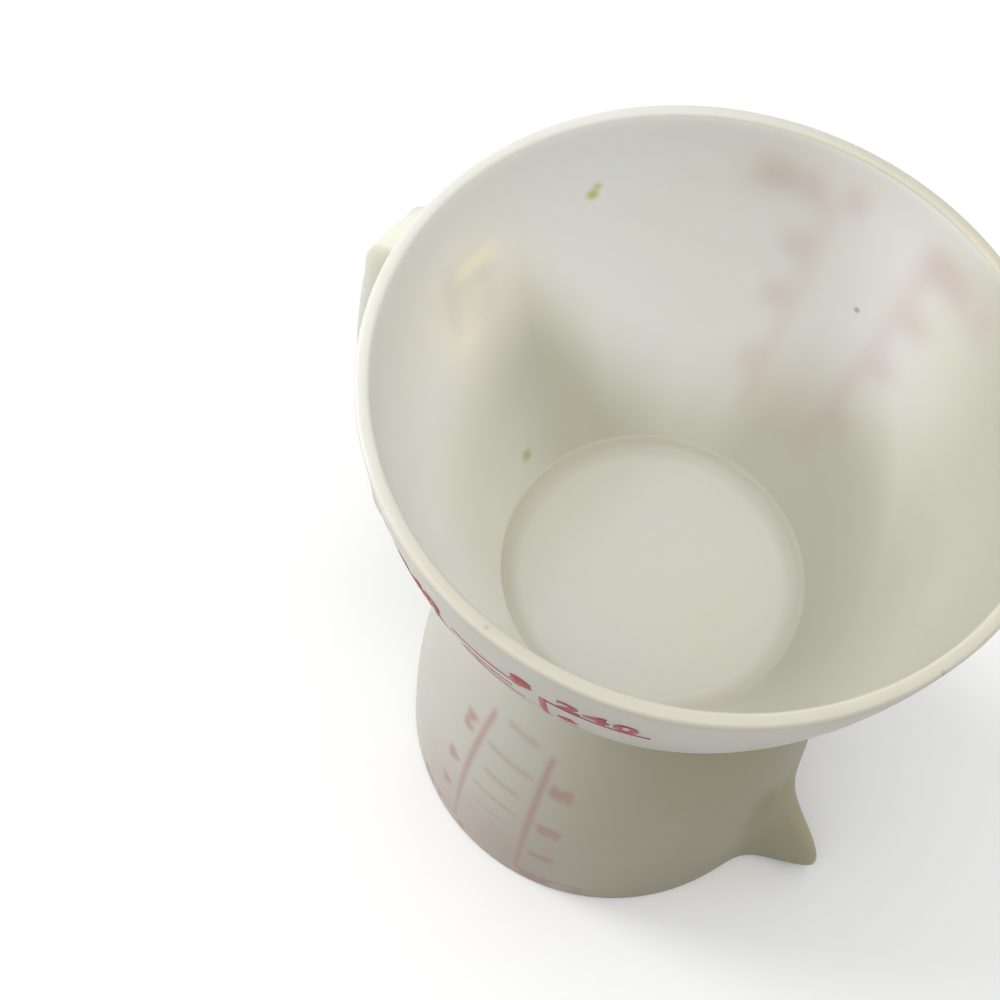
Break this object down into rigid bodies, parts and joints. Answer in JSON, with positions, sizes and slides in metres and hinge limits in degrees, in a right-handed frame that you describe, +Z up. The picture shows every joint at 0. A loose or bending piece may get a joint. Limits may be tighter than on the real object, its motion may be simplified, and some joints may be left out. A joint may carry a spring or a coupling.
{
  "type": "double-sided measuring cup",
  "caption": "Milky plastic measuring cup with a dry end and a spouted liquid end back to back on one shared floor, joined by a side handle.",
  "frame": {"origin": "in the plane of the liquid cup's rim, on which the cup stands, in the middle of the footprint between the spout's tip and the grip; the cups' axis is 5.9 mm towards +X from it", "axes": "+Z up along the cups' axis, from the liquid rim to the dry rim; +X towards the spout; -X towards the handle"},
  "size_m": [0.1188, 0.1018, 0.134],
  "materials": {
    "milky_plastic": "satin, translucent",
    "milky_plastic_floor": "satin, translucent",
    "milky_plastic_handle": "satin, translucent",
    "red_ink": "printed, worn"
  },
  "bodies": {
    "root": {"dry_cup": "milky_plastic", "liquid_cup": "milky_plastic", "shared_floor": "milky_plastic_floor", "handle": "milky_plastic_handle"}
  },
  "joints": []
}
